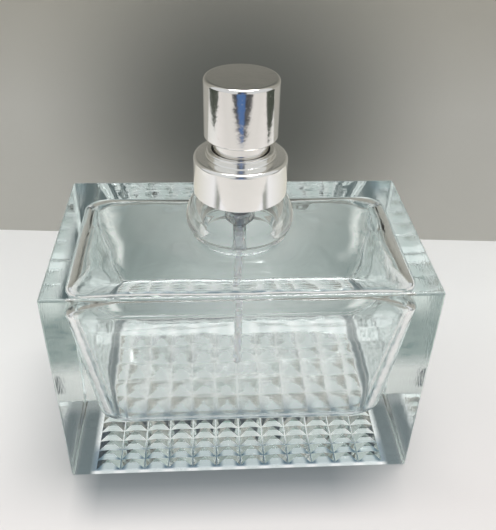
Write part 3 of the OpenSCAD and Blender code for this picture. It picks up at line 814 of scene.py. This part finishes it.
def shell_mesh():
    """Outer and inner side, joined at the skirt's rim and round the window."""
    outer = shell_side(0, 0.7 * MM, BUTTON_TOP, SKIRT_Z)
    inner = shell_side(SHEET, 0.3 * MM, BUTTON_TOP - SHEET, SKIRT_Z)
    shift = len(outer[0])
    count = 4 * PATCH
    around, loop = np.arange(COLUMNS), np.arange(count)
    after, next_ = np.roll(around, -1), np.roll(loop, -1)
    rim = np.stack([shift + around, shift + after, after, around], 1)
    front, behind = outer[3], shift + inner[3]
    window = np.stack([front + loop, front + next_, behind + next_, behind + loop], 1)
    points = np.concatenate([outer[0], inner[0]])
    faces = (outer[1].tolist() + outer[2].tolist() + (inner[1] + shift)[:, ::-1].tolist()
             + (inner[2] + shift)[:, ::-1].tolist() + rim.tolist() + window.tolist())
    return points, faces


points, faces = shell_mesh()
button = build("button_metal", points, faces, "button", ["actuator_shell"])
button.data.materials.append(bright)

# %% [markdown]
# ## What shows through the glass
#
# Below the collar the neck is clear, so the foot of the pump is seen: a housing moulded in natural,
# milky plastic, with the return spring dark inside it, and the dip tube pushed into its tail.

# %% Housing and dip tube
def milky(name, tint, haze=0.1, clear=0.88, painted_glow=0.0):
    """Translucent plastic: softly rough, with faint flow clouds. The last argument is a painted glow,
    standing in for light that reaches the part through the glass.
    """
    finish = Finish(name, IOR=1.46, Transmission_Weight=clear,
                    Subsurface_Weight=0.2, Subsurface_Scale=0.8 * MM,
                    Emission_Color=(0.9, 0.93, 0.92, 1), Emission_Strength=painted_glow)
    cloud = finish.noise(500, 3)
    finish.set(Base_Color=finish.blend(cloud, tint, (tint[0] * 0.94, tint[1] * 0.96, tint[2] * 0.97, 1)),
               Roughness=finish.spread(cloud, 0.3, 0.7, haze * 0.8, haze * 1.3),
               Normal=finish.bump(cloud, 0.02 * MM))
    return finish.material


natural = milky("natural_polypropylene", (0.93, 0.945, 0.95, 1))

housing_outline = np.array([
    (2.75, 65.9), (7.2, 65.9), (7.2, 65.1), (3.7, 65.1), (3.7, 57.75), (3.6, 57.5), (3.08, 57.06),
    (3.0, 56.9), (3.0, 53.5), (2.9, 53.3), (2.0, 52.3), (1.5, 51.98), (1.4, 51.8), (1.4, 46.75),
    (1.3, 46.6), (0.9, 46.6), (0.9, 51.2), (0.55, 51.2), (0.55, 52.0), (1.15, 52.6), (1.15, 54.4),
    (2.2, 54.4), (2.2, 58.0), (2.75, 58.0)]) * MM
housing = turned("housing_plastic", housing_outline, "bottle", ["pump_housing"], 96)
housing.data.materials.append(natural)


def slanted_tube(r_in, r_out, top, foot, slant, columns=64, steps=24):
    """A straight tube whose foot is cut by a plane: z = foot + x tan(slant)."""
    turn = np.linspace(0, 2 * np.pi, columns, endpoint=False)
    share = np.r_[np.linspace(0, 1, steps), np.linspace(1, 0, steps)]
    radius = np.r_[np.full(steps, r_in), np.full(steps, r_out)]
    x, y = radius[:, None] * np.cos(turn), radius[:, None] * np.sin(turn)
    low = foot + (x + r_out) * math.tan(math.radians(slant))
    z = low + (top - low) * share[:, None]
    return np.stack([x, y, z], -1).reshape(-1, 3), ring_faces(2 * steps, columns, loop=True)


tube_points, tube_faces = slanted_tube(0.55 * MM, 0.9 * MM, 51.2 * MM, 13.6 * MM, 25)
tube = build("tube_plastic", tube_points, tube_faces[:, ::-1], "bottle", ["dip_tube"])
# The tube gets a faint painted glow, standing in for the light the glass passes to it.
tube.data.materials.append(milky("natural_tube", (0.98, 0.985, 0.98, 1), 0.25, 0.55, 0.09))

# %% [markdown]
# ## Springs
#
# Both springs are round wire wound into a coil, with one close turn at each end. On the real pump
# the button squeezes the coil towards the end that rests on the fixed part; here each coil is built
# in one shape and carried by one body.

# %% Spring coils
def coil(name, joint, node, mean_r, wire_r, bottom, height, turns):
    """Rings of wire carried along z(t): slow in the first and last turn, even between."""
    ring, steps = 12, 40
    t = np.linspace(0, turns, turns * steps + 1)
    close = 2.1 * wire_r
    pitch = (height - 2 * wire_r - 2 * close) / (turns - 2)
    z = wire_r + np.where(t < 1, t * close, np.where(
        t > turns - 1, close + (turns - 2) * pitch + (t - turns + 1) * close, close + (t - 1) * pitch))
    round_ = np.linspace(0, 2 * np.pi, ring, endpoint=False)
    r = mean_r + wire_r * np.cos(round_)
    turn = 2 * np.pi * t[:, None]
    points = np.stack([r * np.cos(turn), r * np.sin(turn),
                       z[:, None] + wire_r * np.sin(round_) + bottom], -1).reshape(-1, 3)
    last = len(points) - ring
    ends = [list(range(ring)), list(range(last + ring - 1, last - 1, -1))]
    faces = ring_faces(len(t), ring)[:, ::-1].tolist() + ends
    body = "bottle" if joint == "press" else "stem_group"
    made = build(name, points, faces, body, [node])
    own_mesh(made)
    return made


steel = Finish("spring_wire", Metallic=1.0, Base_Color=(0.16, 0.16, 0.165, 1))
drawn = steel.noise(1, 3, 0.6, at=steel.place((2500, 2500, 9000)))
steel.set(Roughness=steel.spread(drawn, 0.3, 0.7, 0.22, 0.4), Normal=steel.bump(drawn, 0.01 * MM))
for made in (coil("return_coil", "press", "return_spring", 1.6 * MM, 0.2 * MM,
                  54.42 * MM, 5.16 * MM, 6),
             coil("priming_coil", "piston_lift", "priming_spring", 1.72 * MM, 0.14 * MM,
                  62.22 * MM, 2.06 * MM, 4)):
    made.data.materials.append(steel.material)

# %% [markdown]
# ## The parts the drawing already shapes
#
# The rest are small turned parts that sit inside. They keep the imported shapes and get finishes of
# their own: moulded white plastic, drawn aluminium, soft sealing foam, black rubber and steel.

# %% Finishes of the inner parts
def moulded(name, colour, rough, speck=900, depth=0.02, **sockets):
    """A plain solid with faint clouds in its colour and gloss, and a fine grain."""
    finish = Finish(name, **sockets)
    cloud, grain = finish.noise(260, 3), finish.noise(speck, 3)
    darker = tuple(v * 0.93 for v in colour[:3]) + (1,)
    finish.set(Base_Color=finish.blend(finish.spread(cloud, 0.3, 0.7), colour, darker),
               Roughness=finish.spread(grain, 0.3, 0.7, rough * 0.85, rough * 1.15),
               Normal=finish.bump(grain, depth * MM))
    return finish.material


white = moulded("white_polypropylene", (0.86, 0.86, 0.85, 1), 0.38, Subsurface_Weight=0.15,
                Subsurface_Scale=0.6 * MM)
INNER = {
    white: ["collar_sleeve", "turret", "valve_rod", "stem", "actuator_core", "nozzle_insert"],
    moulded("soft_polyethylene", (0.82, 0.79, 0.68, 1), 0.45): ["piston"],
    moulded("drawn_aluminium", (0.78, 0.78, 0.79, 1), 0.25, 2600, 0.01, Metallic=1.0): ["crimp_ferrule"],
    moulded("sealing_foam", (0.80, 0.80, 0.78, 1), 0.9, 5200, 0.08): ["neck_gasket"],
    moulded("nitrile_rubber", (0.03, 0.03, 0.03, 1), 0.7, 1800, 0.03): ["stem_gasket"],
    moulded("ball_steel", (0.50, 0.50, 0.51, 1), 0.12, 1500, 0.002, Metallic=1.0): ["inlet_ball"],
}
for material, names in INNER.items():
    for name in names:
        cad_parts[name].data.materials.clear()
        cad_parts[name].data.materials.append(material)
print("finished in place:", sum(len(names) for names in INNER.values()), "parts")
